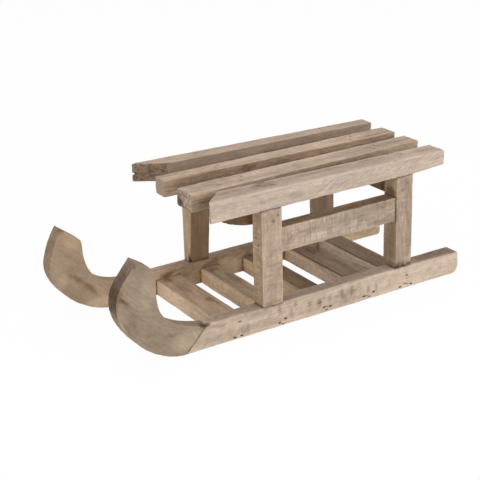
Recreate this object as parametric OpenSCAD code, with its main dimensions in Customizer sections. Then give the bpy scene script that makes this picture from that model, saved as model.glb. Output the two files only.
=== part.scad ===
// Wooden sledge made from reclaimed boards.
// Two straight runners carry sawn horns on slanted scarf joints at the front.
// Five deck boards tie the runners together, four legs stand on the runners,
// two cross bearers sit between the legs and four slats make the seat.
// Sizes are in millimetres, +Z is up and the horns point along -X.
// Every piece is drawn with X measured from the front ends of the seat slats and
// Y from the outer face of the left runner, then moved so that the middle of
// the whole sledge is over the origin.

/* [Overall] */
// width over the outer faces of the two runners
width = 210; // [200:1:230]
// height of the underside of the seat over the ground
seat_underside = 171; // [160:1:190]
// length of the seat slats
seat_length = 385; // [380:1:395]

/* [Runners] */
// height of a runner bar
runner_height = 34; // [32:1:38]
// thickness of a runner bar and of its horn
runner_thickness = 22; // [20:1:24]
// how far the left runner reaches behind the rear ends of the seat slats
left_tail = 33.5; // [29:0.5:37]
// how far the right runner reaches behind the rear ends of the seat slats
right_tail = 38; // [33:1:45]
// radius of the worn upper corner at the rear end of a runner
heel_top_radius = 6; // [3:1:9]
// radius of the worn lower corner at the rear end of the left runner
left_heel_sole = 11; // [6:1:16]
// radius of the worn lower corner at the rear end of the right runner
right_heel_sole = 5; // [3:1:10]

/* [Scarf joints] */
// how far in front of the seat slats the joint comes out on the top of the runner
scarf_top = 12; // [10:1:16]
// length of the slope of the joint, measured along the runner
scarf_run = 33; // [30:1:36]
// width of the glue line between runner and horn
glue_line = 0.3; // [0.2:0.05:0.5]
// step from the top of the runner down to the horn at the joint
scarf_step = 1.5; // [0.5:0.5:2.5]

/* [Left horn] */
// furthest reach of the horn in front of the seat slats
left_reach = 142; // [138:1:146]
// height at which the horn reaches furthest forward
left_belly_height = 90; // [84:1:96]
// distance of the outer tip corner in front of the seat slats
left_tip = 110; // [106:1:115]
// height of the outer tip corner
left_tip_height = 146.5; // [142:0.5:151]
// distance of the inner tip corner in front of the seat slats
left_inner_tip = 91; // [88:1:95]
// height of the inner tip corner
left_inner_height = 134; // [130:1:137]
// distance of the deepest part of the hollow in front of the seat slats
left_throat = 84; // [80:1:87]
// height of the deepest part of the hollow
left_throat_height = 114; // [110:1:118]

/* [Right horn] */
// furthest reach of the horn in front of the seat slats
right_reach = 146; // [142:1:150]
// height at which the horn reaches furthest forward
right_belly_height = 80; // [75:1:86]
// distance of the outer tip corner in front of the seat slats
right_tip = 124.5; // [119:0.5:129]
// height of the outer tip corner
right_tip_height = 133.5; // [130:0.5:138]
// distance of the inner tip corner in front of the seat slats
right_inner_tip = 97; // [94:1:100]
// height of the inner tip corner
right_inner_height = 112; // [109:1:116]
// distance of the deepest part of the hollow in front of the seat slats
right_throat = 95; // [92:1:97]
// height of the deepest part of the hollow
right_throat_height = 100; // [97:1:104]

/* [Legs] */
// distance from the front ends of the slats to the front legs
front_leg_start = 75.5; // [73:0.5:80]
// width of a front leg along the sledge
front_leg_width = 32; // [29:1:34]
// how far the slats reach behind the rear legs
rear_overhang = 56; // [52:1:60]
// width of a rear leg along the sledge
rear_leg_width = 28; // [26:1:30]
// depth of the left front leg across the sledge
left_front_depth = 23; // [22:1:25]
// depth of the left rear leg across the sledge
left_rear_depth = 29; // [26:1:31]
// depth of the right front leg at its foot
right_front_foot = 17; // [16:1:20]
// depth of the right front leg at its head
right_front_head = 30; // [27:1:32]
// depth of the right rear leg across the sledge
right_rear_depth = 25; // [23:1:28]

/* [Side rails] */
// how far the lower edge of the side rails lies under the seat
rail_drop = 65; // [60:1:69]
// height of a side rail from edge to edge
rail_height = 35; // [32:1:38]
// thickness of a side rail
rail_thickness = 22; // [20:1:25]
// how far a side rail is set back from the outer face of the legs
rail_setback = 2.5; // [1.5:0.5:4]

/* [Bearers] */
// thickness of both bearers along the sledge
bearer_thickness = 26; // [24:1:27]
// how far the front faces of the bearers are set back from the legs
bearer_setback = 1; // [0.5:0.5:1.5]
// depth of the front bearer at the middle of its bow
front_bearer_middle = 46; // [42:1:50]
// depth of the front bearer at its ends
front_bearer_end = 25; // [23:1:28]
// depth of the rear bearer
rear_bearer_depth = 29; // [26:1:33]

/* [Seat slats] */
// thickness of the second and third slat
slat_thickness = 24; // [22:1:26]
// thickness of the fourth slat at its front end
fourth_slat_front = 26.5; // [25:0.5:28]
// thickness of the fourth slat at its rear end
fourth_slat_rear = 24; // [23:0.5:25]
// thickness of the first slat at its front end
first_slat_front = 29; // [27:0.5:30]
// thickness of the first slat at its rear end
first_slat_rear = 24; // [23:0.5:26]
// how far the planed underside of the first slat rises at its rear end
first_slat_lift = 3; // [1:0.5:4]
// width of the first slat
first_slat_width = 33; // [31:1:36]
// length of the slanted front cut of the first slat
first_mitre = 34; // [30:1:38]
// how far the point of the first slat stands in front of the second and third slat
first_nose = 5; // [3:0.5:6]
// distance of the second slat from the outer face of the left runner at its front end
second_front_inset = 50; // [48:1:52]
// distance of the second slat from the outer face of the left runner at its rear end
second_rear_inset = 57; // [54:1:60]
// distance of the near edge of the third slat from the outer face of the right runner, front end
third_front_inset = 87; // [84:1:89]
// distance of the near edge of the third slat from the outer face of the right runner, rear end
third_rear_inset = 100; // [96:1:102]
// distance of the fourth slat from the outer face of the right runner at its front end
fourth_front_inset = 1; // [0:0.5:3]
// distance of the fourth slat from the outer face of the right runner at its rear end
fourth_rear_inset = 9; // [6:1:11]
// length of the slanted front cut of the fourth slat
fourth_mitre = 42.5; // [38:0.5:46]
// how far the point of the fourth slat stands in front of the second and third slat
fourth_nose = 3.5; // [2:0.5:5]
// radius of the worn top corner at the point of the fourth slat
fourth_corner = 8; // [5:1:10]
// width of the second slat at its front end
second_front_width = 38; // [34:1:40]
// width of the second slat at its rear end
second_rear_width = 32; // [28:1:36]
// width of the third slat at its front end
third_front_width = 23; // [20:1:27]
// width of the third slat at its rear end
third_rear_width = 31; // [27:1:34]
// width of the fourth slat at its front end
fourth_front_width = 29; // [26:1:32]
// width of the fourth slat at its rear end
fourth_rear_width = 31; // [28:1:34]
// radius of the worn upright corners of the slats
slat_corner = 2.5; // [1:0.5:4]

/* [Deck boards] */
// thickness of the deck boards
deck_thickness = 23; // [21:1:25]
// distance of the first deck board behind the front ends of the slats
deck_1_start = 16; // [12:1:20]
// width of the first deck board
deck_1_width = 39; // [35:1:44]
// distance of the second deck board behind the front ends of the slats
deck_2_start = 90; // [85:1:95]
// width of the second deck board
deck_2_width = 30; // [27:1:35]
// distance of the third deck board behind the front ends of the slats
deck_3_start = 163; // [158:1:168]
// width of the third deck board
deck_3_width = 32; // [28:1:36]
// distance of the fourth deck board behind the front ends of the slats
deck_4_start = 238; // [233:1:243]
// width of the fourth deck board
deck_4_width = 34; // [30:1:38]
// distance of the fifth deck board behind the front ends of the slats
deck_5_start = 301; // [296:1:306]
// width of the fifth deck board
deck_5_width = 33; // [29:1:37]

/* [Nails] */
// radius of a nail shank
nail_radius = 0.9; // [0.7:0.1:1.1]
// radius of a nail head
nail_head = 1.4; // [1.3:0.1:1.9]
// thickness of a nail head
nail_head_thickness = 0.9; // [0.6:0.1:1.2]
// length of a nail under its head
nail_length = 44; // [40:1:48]
// room between a nail and its hole
nail_room = 0.05; // [0.03:0.01:0.08]

/* [Hidden] */

wood_pale = [0.74, 0.63, 0.50];
wood_mid = [0.66, 0.55, 0.43];
wood_dark = [0.57, 0.47, 0.37];
steel = [0.33, 0.29, 0.26];

left_runner_end = seat_length + left_tail;
right_runner_end = seat_length + right_tail;
middle_x = (max(left_runner_end, right_runner_end) - max(left_reach, right_reach)) / 2;
front_leg_end = front_leg_start + front_leg_width;
rear_leg_end = seat_length - rear_overhang;
rear_leg_start = rear_leg_end - rear_leg_width;
scarf_foot = scarf_top + scarf_run;
seat_top = seat_underside + slat_thickness;
rail_bottom = seat_underside - rail_drop;
front_bearer_start = front_leg_start + bearer_setback;
rear_bearer_start = rear_leg_start + bearer_setback;
front_bearer_middle_x = front_bearer_start + bearer_thickness / 2;
rear_bearer_middle_x = rear_bearer_start + bearer_thickness / 2;
deck_starts = [deck_1_start, deck_2_start, deck_3_start, deck_4_start, deck_5_start];
deck_widths = [deck_1_width, deck_2_width, deck_3_width, deck_4_width, deck_5_width];
big = 1000;

// inner face of the right front leg at height z, it widens towards its head
function right_front_inner(z) =
    width - right_front_foot
    - (right_front_head - right_front_foot) * (z - runner_height) / (seat_underside - runner_height);

// a measure that changes evenly from the front end of the seat to its rear end
function along(front, rear, x) = front + (rear - front) * x / seat_length;

// edges of the seat slats seen from above
function second_near(x) = along(second_front_inset, second_rear_inset, x);
function second_far(x) = second_near(x) + along(second_front_width, second_rear_width, x);
function third_near(x) = width - along(third_front_inset, third_rear_inset, x);
function third_far(x) = third_near(x) + along(third_front_width, third_rear_width, x);
function fourth_far(x) = width - along(fourth_front_inset, fourth_rear_inset, x);
function fourth_near(x) = fourth_far(x) - along(fourth_front_width, fourth_rear_width, x);

// point at t on a smooth curve from a to d that leaves towards b and arrives from c
function curve_point(a, b, c, d, t) =
    pow(1 - t, 3) * a + 3 * pow(1 - t, 2) * t * b + 3 * (1 - t) * t * t * c + pow(t, 3) * d;
function curve(a, b, c, d, steps) = [for (i = [0 : steps - 1]) curve_point(a, b, c, d, i / steps)];

// moves a piece from the drawing position to the middle of the sledge
module placed() {
    translate([-middle_x, -width / 2, 0]) children();
}

// a flat side outline in X and Z, given thickness along Y from y on
module side_board(y, thickness) {
    translate([0, y + thickness, 0]) rotate([90, 0, 0]) linear_extrude(thickness) children();
}

// a flat end outline in Y and Z, given thickness along X from x on
module end_board(x, thickness) {
    translate([x, 0, 0]) rotate([90, 0, 90]) linear_extrude(thickness) children();
}

// a flat outline from above in X and Y, given height along Z from z on, corners worn round
module plan_board(z, height, corner = slat_corner) {
    translate([0, 0, z]) linear_extrude(height)
        offset(r = corner, $fn = 20) offset(delta = -corner) children();
}

// a plain board lying along X, Y and Z
module block(x, y, z, length, depth, height) {
    translate([x, y, z]) cube([length, depth, height]);
}

// turns a nail so that it points along one of the three axes
module pointing(direction) {
    turn = direction == "down" ? [180, 0, 0]
         : direction == "up" ? [0, 0, 0]
         : direction == "right" ? [-90, 0, 0]
         : direction == "left" ? [90, 0, 0]
         : direction == "back" ? [0, 90, 0]
         : [0, -90, 0];
    rotate(turn) children();
}

// one nail with its head flush at the given point
module nail(point, direction) {
    translate(point) pointing(direction) {
        cylinder(h = nail_head_thickness, r = nail_head, $fn = 20);
        translate([0, 0, nail_head_thickness - 0.01])
            cylinder(h = nail_length, r = nail_radius, $fn = 16);
    }
}

// the hole for one nail, a little wider and deeper than the nail
module nail_hole(point, direction) {
    translate(point) pointing(direction) {
        translate([0, 0, -1])
            cylinder(h = nail_head_thickness + nail_room + 1, r = nail_head + nail_room, $fn = 20);
        cylinder(h = nail_length + nail_head_thickness + 0.5, r = nail_radius + nail_room, $fn = 16);
    }
}

// Places where nails are driven: [point, direction]. They were driven by hand, so each nail
// has a place of its own: shares of the deck board's width and thickness, or an offset from
// the leg or bearer that it holds.
left_deck_places = [[[0.35, 0.15], [0.62, 0.16]], [[0.38, 0.21], [0.7, 0.39]],
                    [[0.39, 0.36], [0.73, 0.31]], [[0.19, 0.28], [0.7, 0.39]],
                    [[0.27, 0.17], [0.88, 0.18]]];
right_deck_places = [[[0.28, 0.52], [0.7, 0.3]], [[0.3, 0.33], [0.74, 0.54]],
                     [[0.33, 0.57], [0.7, 0.35]], [[0.26, 0.35], [0.75, 0.48]],
                     [[0.31, 0.52], [0.72, 0.35]]];
first_front_offsets = [[22.5, 29], [13.5, 15], [29.5, 12]];
first_rear_offsets = [[6, 30], [14, 13], [22, 19]];
fourth_front_offsets = [[15.5, 15], [22.5, 12]];
fourth_rear_offsets = [[6, 19], [22, 18]];
crossing_offsets = [[-4, 0.3], [5, 0.68]];
bearer_front_offsets = [[19.1, 16.9], [25.6, 9.9]];
bearer_rear_offsets = [[10, 20], [18, 11]];
rail_front_offsets = [[15.5, 12, 23.8], [9.8, 8, 14.7]];
rail_rear_offsets = [[12, 12, 24], [14, 14, 12]];
foot_insets = [12, 11];
foot_head_depth = 0.5;

function inward(side) = side == 0 ? "right" : "left";
function deck_nail_spots(i) = [
    for (side = [0, 1], p = side == 0 ? left_deck_places[i] : right_deck_places[i])
        [[deck_starts[i] + deck_widths[i] * p[0], side * width, deck_thickness * p[1]],
         inward(side)]];
function first_slat_top(x) = seat_underside + along(first_slat_front, first_slat_rear, x);
function first_spots(x, offsets) = [for (o = offsets) [x + o[0], o[1], first_slat_top(x + o[0])]];
first_slat_spots = concat(first_spots(front_leg_start, first_front_offsets),
                          first_spots(rear_leg_start, first_rear_offsets));
function crossing_spots(x, near, far) =
    [for (o = crossing_offsets) [x + o[0], near + (far - near) * o[1], seat_top]];
second_slat_spots = [for (x = [front_bearer_middle_x, rear_bearer_middle_x])
    each crossing_spots(x, second_near(x), second_far(x))];
third_slat_spots = [for (x = [front_bearer_middle_x, rear_bearer_middle_x])
    each crossing_spots(x, third_near(x), third_far(x))];
function fourth_slat_top(x) = seat_underside + along(fourth_slat_front, fourth_slat_rear, x);
function fourth_spots(x, offsets) =
    [for (o = offsets) [x + o[0], width - o[1], fourth_slat_top(x + o[0])]];
fourth_slat_spots = concat(fourth_spots(front_leg_start, fourth_front_offsets),
                           fourth_spots(rear_leg_start, fourth_rear_offsets));
function bearer_spots(x, offsets) = [
    for (side = [0, 1], o = offsets)
        [[x + o[0], side * width, seat_underside - o[1]], inward(side)]];
bearer_front_spots = bearer_spots(front_leg_start, bearer_front_offsets);
bearer_rear_spots = bearer_spots(rear_leg_start, bearer_rear_offsets);
function rail_spots(x, offsets, direction) = [
    for (side = [0, 1], o = offsets)
        [[x, side == 0 ? o[0] : width - o[1], rail_bottom + o[2]], direction]];
rail_front_spots = rail_spots(front_leg_start, rail_front_offsets, "back");
rail_rear_spots = rail_spots(rear_leg_end, rail_rear_offsets, "front");
foot_spots = [
    for (side = [0, 1], x = [front_leg_start + front_leg_width / 2, rear_leg_start + rear_leg_width / 2])
        [[x, side == 0 ? foot_insets[0] : width - foot_insets[1], foot_head_depth], "up"]];

module spot_holes(spots) {
    for (s = spots) nail_hole(s[0], s[1]);
}
module seat_holes(points) {
    for (p = points) nail_hole(p, "down");
}
module all_deck_holes() {
    for (i = [0 : len(deck_starts) - 1]) spot_holes(deck_nail_spots(i));
}
module all_seat_holes() {
    seat_holes(first_slat_spots);
    seat_holes(second_slat_spots);
    seat_holes(third_slat_spots);
    seat_holes(fourth_slat_spots);
}

// straight bar with the slanted scarf face at the front and a worn rear end
module runner_outline(end, sole_radius) {
    intersection() {
        polygon([[-scarf_top, runner_height], [-scarf_foot, 0], [end, 0], [end, runner_height]]);
        hull() {
            translate([-big, 0]) square([big, runner_height]);
            translate([end - heel_top_radius, runner_height - heel_top_radius])
                circle(r = heel_top_radius, $fn = 40);
            translate([end - sole_radius, sole_radius])
                circle(r = sole_radius, $fn = 56);
        }
    }
}

module runner(y, end, sole_radius) {
    difference() {
        side_board(y, runner_thickness) runner_outline(end, sole_radius);
        all_deck_holes();
        spot_holes(foot_spots);
    }
}

module left_runner() {
    color(wood_pale) placed() runner(0, left_runner_end, left_heel_sole);
}

module right_runner() {
    color(wood_mid) placed() runner(width - runner_thickness, right_runner_end, right_heel_sole);
}

// crescent horn: a broad belly that narrows to the square cut tip and to the scarf joint
module horn(y, reach, belly, tip, tip_height, tip_pull, inner_tip, inner_height,
            throat, throat_height, throat_pull, neck_pull, belly_up, belly_down, foot_pull) {
    foot_point = [-scarf_foot - glue_line, 0];
    belly_point = [-reach, belly];
    tip_point = [-tip, tip_height];
    inner_point = [-inner_tip, inner_height];
    throat_point = [-throat, throat_height];
    neck_height = runner_height - scarf_step;
    neck_point = [-scarf_foot - glue_line + scarf_run * neck_height / runner_height, neck_height];
    under = curve(foot_point, foot_point - [foot_pull, 0], belly_point - [0, belly_down],
                  belly_point, 22);
    front = curve(belly_point, belly_point + [0, belly_up],
                  tip_point - tip_pull * [0.6, 0.8], tip_point, 14);
    end_rise = 0.4 * (inner_height - throat_height);
    end = curve(inner_point, inner_point + [0.6 * (inner_tip - throat), -end_rise],
                throat_point + [0, end_rise], throat_point, 6);
    hollow = curve(throat_point, throat_point - [0, throat_pull],
                   neck_point + neck_pull * [-1, 0.2], neck_point, 24);
    side_board(y, runner_thickness)
        polygon(concat(under, front, [tip_point], end, hollow, [neck_point]));
}

module left_horn() {
    color(wood_mid) placed()
        horn(0, left_reach, left_belly_height, left_tip, left_tip_height, 25,
             left_inner_tip, left_inner_height, left_throat, left_throat_height,
             32, 78, 26, 33, 52);
}

module right_horn() {
    color(wood_pale) placed()
        horn(width - runner_thickness, right_reach, right_belly_height, right_tip, right_tip_height, 17,
             right_inner_tip, right_inner_height, right_throat, right_throat_height,
             68, 18, 13, 34, 55);
}

// straight leg standing on the runner under the seat
module leg(x, y, length, depth) {
    block(x, y, runner_height, length, depth, seat_underside - runner_height);
}

module left_front_leg() {
    color(wood_pale) placed() difference() {
        leg(front_leg_start, 0, front_leg_width, left_front_depth);
        spot_holes(bearer_front_spots);
        spot_holes(rail_front_spots);
        spot_holes(foot_spots);
        seat_holes(first_slat_spots);
    }
}

module left_rear_leg() {
    color(wood_pale) placed() difference() {
        leg(rear_leg_start, 0, rear_leg_width, left_rear_depth);
        spot_holes(bearer_rear_spots);
        spot_holes(rail_rear_spots);
        spot_holes(foot_spots);
        seat_holes(first_slat_spots);
    }
}

module right_front_leg() {
    color(wood_mid) placed() difference() {
        end_board(front_leg_start, front_leg_width)
            polygon([[width, runner_height], [width, seat_underside],
                     [width - right_front_head, seat_underside],
                     [width - right_front_foot, runner_height]]);
        spot_holes(bearer_front_spots);
        spot_holes(rail_front_spots);
        spot_holes(foot_spots);
        seat_holes(fourth_slat_spots);
    }
}

module right_rear_leg() {
    color(wood_mid) placed() difference() {
        leg(rear_leg_start, width - right_rear_depth, rear_leg_width, right_rear_depth);
        spot_holes(bearer_rear_spots);
        spot_holes(rail_rear_spots);
        spot_holes(foot_spots);
        seat_holes(fourth_slat_spots);
    }
}

// side rail that fits between the front and the rear leg
module rail(y) {
    difference() {
        block(front_leg_end, y, rail_bottom, rear_leg_start - front_leg_end, rail_thickness, rail_height);
        spot_holes(rail_front_spots);
        spot_holes(rail_rear_spots);
    }
}

module left_rail() {
    color(wood_pale) placed() rail(rail_setback);
}

module right_rail() {
    color(wood_mid) placed() rail(width - rail_setback - rail_thickness);
}

// front bearer: a half-moon offcut whose bowed sawn edge hangs down between the front legs
bow_near = left_front_depth;
bow_far = right_front_inner(seat_underside - front_bearer_end);
bow_half = (bow_far - bow_near) / 2;
bow_sag = front_bearer_middle - front_bearer_end;
bow_radius = (bow_half * bow_half + bow_sag * bow_sag) / (2 * bow_sag);
module front_bearer() {
    bow_middle = (bow_near + bow_far) / 2;
    bow_centre = seat_underside - front_bearer_middle + bow_radius;
    bow = [for (i = [0 : 28]) let (y = bow_near + (bow_far - bow_near) * i / 28)
        [y, bow_centre - sqrt(bow_radius * bow_radius - pow(y - bow_middle, 2))]];
    color(wood_dark) placed() difference() {
        end_board(front_bearer_start, bearer_thickness)
            polygon(concat(bow, [[right_front_inner(seat_underside), seat_underside],
                                 [bow_near, seat_underside]]));
        spot_holes(bearer_front_spots);
        all_seat_holes();
    }
}

module rear_bearer() {
    color(wood_dark) placed() difference() {
        block(rear_bearer_start, left_rear_depth, seat_underside - rear_bearer_depth,
              bearer_thickness, width - left_rear_depth - right_rear_depth, rear_bearer_depth);
        spot_holes(bearer_rear_spots);
        all_seat_holes();
    }
}

// first slat: slanted front cut, thicker at the front, its rear end planed up underneath
module seat_slat_1() {
    color(wood_pale) placed() difference() {
        intersection() {
            plan_board(seat_underside, first_slat_front)
                polygon([[-first_nose, 0], [first_mitre - first_nose, first_slat_width],
                         [seat_length, first_slat_width], [seat_length, 0]]);
            side_board(-1, first_slat_width + 2)
                polygon([[-big, seat_underside], [rear_leg_end, seat_underside],
                         [seat_length, seat_underside + first_slat_lift],
                         [seat_length, first_slat_top(seat_length)],
                         [0, first_slat_top(0)], [-big, first_slat_top(0)]]);
        }
        seat_holes(first_slat_spots);
    }
}

// a straight slat between its near and its far edge
module seat_board(front_near, front_far, rear_near, rear_far) {
    plan_board(seat_underside, slat_thickness)
        polygon([[0, front_near], [seat_length, rear_near],
                 [seat_length, rear_far], [0, front_far]]);
}

module seat_slat_2() {
    color(wood_mid) placed() difference() {
        seat_board(second_near(0), second_far(0), second_near(seat_length), second_far(seat_length));
        seat_holes(second_slat_spots);
    }
}

module seat_slat_3() {
    color(wood_mid) placed() difference() {
        seat_board(third_near(0), third_far(0), third_near(seat_length), third_far(seat_length));
        seat_holes(third_slat_spots);
    }
}

// fourth slat: slanted front cut, thicker at the front, worn round at its point and split
// there, with a bevelled outer edge that grows to the rear
bevel_front = 1.2;
bevel_rear = 8;
fourth_tail = 3;
fourth_point = 0.8;
split_height = 10;
split_gap = 2.2;
split_depth = 4;
split_length = 9;
module seat_slat_4() {
    outer_front = fourth_far(0);
    outer_rear = fourth_far(seat_length);
    rear = seat_length + fourth_tail;
    top_front = fourth_slat_top(0);
    top_rear = fourth_slat_top(rear);
    color(wood_mid) placed() difference() {
        intersection() {
            plan_board(seat_underside, fourth_slat_front, fourth_point)
                polygon([[fourth_mitre - fourth_nose, fourth_near(fourth_mitre)],
                         [rear, fourth_near(seat_length)], [rear, outer_rear],
                         [-fourth_nose, outer_front]]);
            side_board(fourth_near(seat_length) - 20, width)
                hull() {
                    translate([-fourth_nose, 0]) square([rear + fourth_nose, seat_underside]);
                    translate([rear - 1, 0]) square([1, top_rear]);
                    translate([fourth_corner - fourth_nose, top_front - fourth_corner])
                        circle(r = fourth_corner, $fn = 48);
                }
        }
        hull() {
            translate([-fourth_nose - 1, outer_front - bevel_front, top_front])
                rotate([-45, 0, 0]) cube([1, 9, 6]);
            translate([rear, outer_rear - bevel_rear, top_rear])
                rotate([-45, 0, 0]) cube([1, 20, 9]);
        }
        translate([-fourth_nose - 1, outer_front - split_depth, seat_underside + split_height])
            cube([split_length, split_depth + 1, split_gap]);
        seat_holes(fourth_slat_spots);
    }
}

module deck_board(i) {
    placed() difference() {
        block(deck_starts[i], runner_thickness, 0,
              deck_widths[i], width - 2 * runner_thickness, deck_thickness);
        spot_holes(deck_nail_spots(i));
    }
}

module deck_board_1() {
    color(wood_pale) deck_board(0);
}
module deck_board_2() {
    color(wood_mid) deck_board(1);
}
module deck_board_3() {
    color(wood_pale) deck_board(2);
}
module deck_board_4() {
    color(wood_mid) deck_board(3);
}
module deck_board_5() {
    color(wood_pale) deck_board(4);
}

module deck_nails() {
    color(steel) placed() for (i = [0 : len(deck_starts) - 1], s = deck_nail_spots(i)) nail(s[0], s[1]);
}

module seat_nails() {
    points = concat(first_slat_spots, second_slat_spots, third_slat_spots, fourth_slat_spots);
    color(steel) placed() for (p = points) nail(p, "down");
}

module bearer_nails() {
    color(steel) placed() for (s = concat(bearer_front_spots, bearer_rear_spots)) nail(s[0], s[1]);
}

module rail_nails() {
    color(steel) placed() for (s = concat(rail_front_spots, rail_rear_spots)) nail(s[0], s[1]);
}

module foot_nails() {
    color(steel) placed() for (s = foot_spots) nail(s[0], s[1]);
}

left_runner();
right_runner();
left_horn();
right_horn();
left_front_leg();
left_rear_leg();
right_front_leg();
right_rear_leg();
left_rail();
right_rail();
front_bearer();
rear_bearer();
seat_slat_1();
seat_slat_2();
seat_slat_3();
seat_slat_4();
deck_board_1();
deck_board_2();
deck_board_3();
deck_board_4();
deck_board_5();
deck_nails();
seat_nails();
bearer_nails();
rail_nails();
foot_nails();
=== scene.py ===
import math
from types import SimpleNamespace

import bmesh
import bpy
import numpy as np
from mathutils import Matrix, Vector
from mathutils.bvhtree import BVHTree


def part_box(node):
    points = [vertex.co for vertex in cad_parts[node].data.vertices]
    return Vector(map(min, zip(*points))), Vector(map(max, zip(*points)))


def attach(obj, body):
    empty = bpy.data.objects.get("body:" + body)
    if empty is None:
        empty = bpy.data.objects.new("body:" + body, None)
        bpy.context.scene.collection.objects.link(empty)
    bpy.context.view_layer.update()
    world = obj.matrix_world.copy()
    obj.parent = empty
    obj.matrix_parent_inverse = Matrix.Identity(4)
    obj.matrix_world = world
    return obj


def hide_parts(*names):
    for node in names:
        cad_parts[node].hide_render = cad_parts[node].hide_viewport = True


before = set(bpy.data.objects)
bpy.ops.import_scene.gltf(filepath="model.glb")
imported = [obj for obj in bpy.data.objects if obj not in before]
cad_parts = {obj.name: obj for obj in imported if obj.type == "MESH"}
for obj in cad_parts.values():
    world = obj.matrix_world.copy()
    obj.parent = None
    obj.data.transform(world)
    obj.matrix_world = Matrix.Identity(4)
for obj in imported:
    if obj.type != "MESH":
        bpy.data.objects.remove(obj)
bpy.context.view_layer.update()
SCENE = bpy.context.scene

# Everything below is in millimetres, laid out as in the CAD drawing: X from the front ends of
# the slats, Y from the outer face of the left runner. ZERO is the drawing's zero in the frame.
ZERO = np.array([-138.5, -105.0, 0.0])
WIDTH = 210.0        # over both runners
RUNNER = 34.0        # height of the runners
BOARD = 22.0         # thickness of the runners, horns and rails
DECK_TOP = 23.0
SEAT = 171.0         # underside of the slats
SEAT_TOP = 195.0
SLAT = 385.0         # length of the slats
SLAT_REAR = 385.8    # their rear ends before wear, which brings them in
FRONT_LEG, REAR_LEG = 75.5, 301
FAR = WIDTH - BOARD  # inner face of the right runner


# ---- noise and small helpers

def hashed(cell, seed):
    """A number from 0 to 1 for each lattice cell, the same on every run."""
    i, j, k = np.moveaxis(cell, -1, 0).astype(np.int64)
    h = (i * 374761393 + j * 668265263 + k * 1440662683 + seed * 974711) & 0xFFFFFFFF
    h = ((h ^ (h >> 13)) * 1274126177) & 0xFFFFFFFF
    return ((h ^ (h >> 16)) & 0xFFFF) / 65535


def noise(points, size, seed):
    """Smooth noise from 0 to 1 whose bumps are about size millimetres along each axis."""
    scaled = np.asarray(points, float) / np.asarray(size, float)
    cell = np.floor(scaled)
    part = scaled - cell
    part = part * part * (3 - 2 * part)
    total = 0
    for corner in np.ndindex(2, 2, 2):
        weight = np.prod(np.where(corner, part, 1 - part), axis=-1)
        total = total + weight * hashed(cell + corner, seed)
    return total


def smooth(value, low, high):
    """0 below low, 1 above high, and a soft step between them."""
    t = np.clip((value - low) / (high - low), 0, 1)
    return t * t * (3 - 2 * t)


def lerp(a, b, t):
    return a + (b - a) * t


def length(vectors):
    return np.linalg.norm(vectors, axis=-1)


def turned(x, z, degrees):
    """The coordinates along axes that are turned in the side view."""
    c, s = math.cos(math.radians(degrees)), math.sin(math.radians(degrees))
    return x * c + z * s, z * c - x * s


def srgb(red, green, blue):
    """A colour written as 0 to 255 on screen, as linear light with alpha."""
    def one(c):
        c /= 255
        return c / 12.92 if c <= 0.04045 else ((c + 0.055) / 1.055) ** 2.4
    return one(red), one(green), one(blue), 1


def tinted(colour, *tint):
    return (*(c * t for c, t in zip(colour, tint)), 1)


# ---- where each board lies
# Each place function takes points in a unit block (along the grain, across, through) and
# returns them in the drawing.

def box_place(start, end, order):
    """A plain board; order says which drawing axis each block axis runs along."""
    def place(q):
        out = np.empty_like(q)
        for n, axis in enumerate(order):
            out[:, axis] = lerp(start[axis], end[axis], q[:, n])
        return out
    return place


def runner_place(y, end):
    """A straight bar behind the slanted scarf joint."""
    def place(q):
        z = RUNNER * q[:, 1]
        scarf = -45 + 33 * z / RUNNER
        return np.stack([lerp(scarf, end, q[:, 0]), y + BOARD * q[:, 2], z], 1)
    return place


def sloping(start, change):
    """A side, top or underside of a slat, which moves by change from its front to its rear."""
    return lambda x: start + change * x / SLAT


def slat_place(near, far, top, bottom=sloping(SEAT, 0), front=lambda b: 0 * b, rear=SLAT_REAR):
    """A slat. Its sides, top and underside depend on X, its front end on the share b across."""
    def place(q):
        x = lerp(front(q[:, 1]), rear, q[:, 0])
        y = lerp(near(x), far(x), q[:, 1])
        return np.stack([x, y, lerp(bottom(x), top(x), q[:, 2])], 1)
    return place


def right_front_inner(z):
    """The inner face of the right front leg, which tapers towards its foot."""
    return WIDTH - 17 - 13 * (z - RUNNER) / (SEAT - RUNNER)


def right_front_place(q):
    z = lerp(RUNNER, SEAT, q[:, 0])
    y = lerp(right_front_inner(z), WIDTH, q[:, 2])
    return np.stack([lerp(FRONT_LEG, FRONT_LEG + 32, q[:, 1]), y, z], 1)


def front_bearer_place(q):
    """A half-moon: straight on top, bowed underneath."""
    near, far = 23, right_front_inner(146)
    half = (far - near) / 2
    y = lerp(near, far, q[:, 0])
    bow = 124 + 21.7 * np.abs((y - near) / half - 1) ** 1.45
    z = lerp(bow, SEAT, q[:, 1])
    y = lerp(near, right_front_inner(z), q[:, 0])
    return np.stack([lerp(76.5, 102.5, q[:, 2]), y, z], 1)


def bezier(a, b, c, d):
    t = np.linspace(0, 1, 60)[:, None]
    a, b, c, d = (np.asarray(p, float) for p in (a, b, c, d))
    u = 1 - t
    return u ** 3 * a + 3 * u ** 2 * t * b + 3 * u * t * t * c + t ** 3 * d


def resampled(*parts):
    """The joined line as a function of the share of its length."""
    line = np.concatenate(parts)
    run = np.r_[0, np.cumsum(length(np.diff(line, axis=0)))]
    keep = np.r_[True, np.diff(run) > 1e-6]
    line, run = line[keep], run[keep] / run[-1]
    return lambda t: np.stack([np.interp(t, run, line[:, 0]), np.interp(t, run, line[:, 1])], 1)


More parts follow.
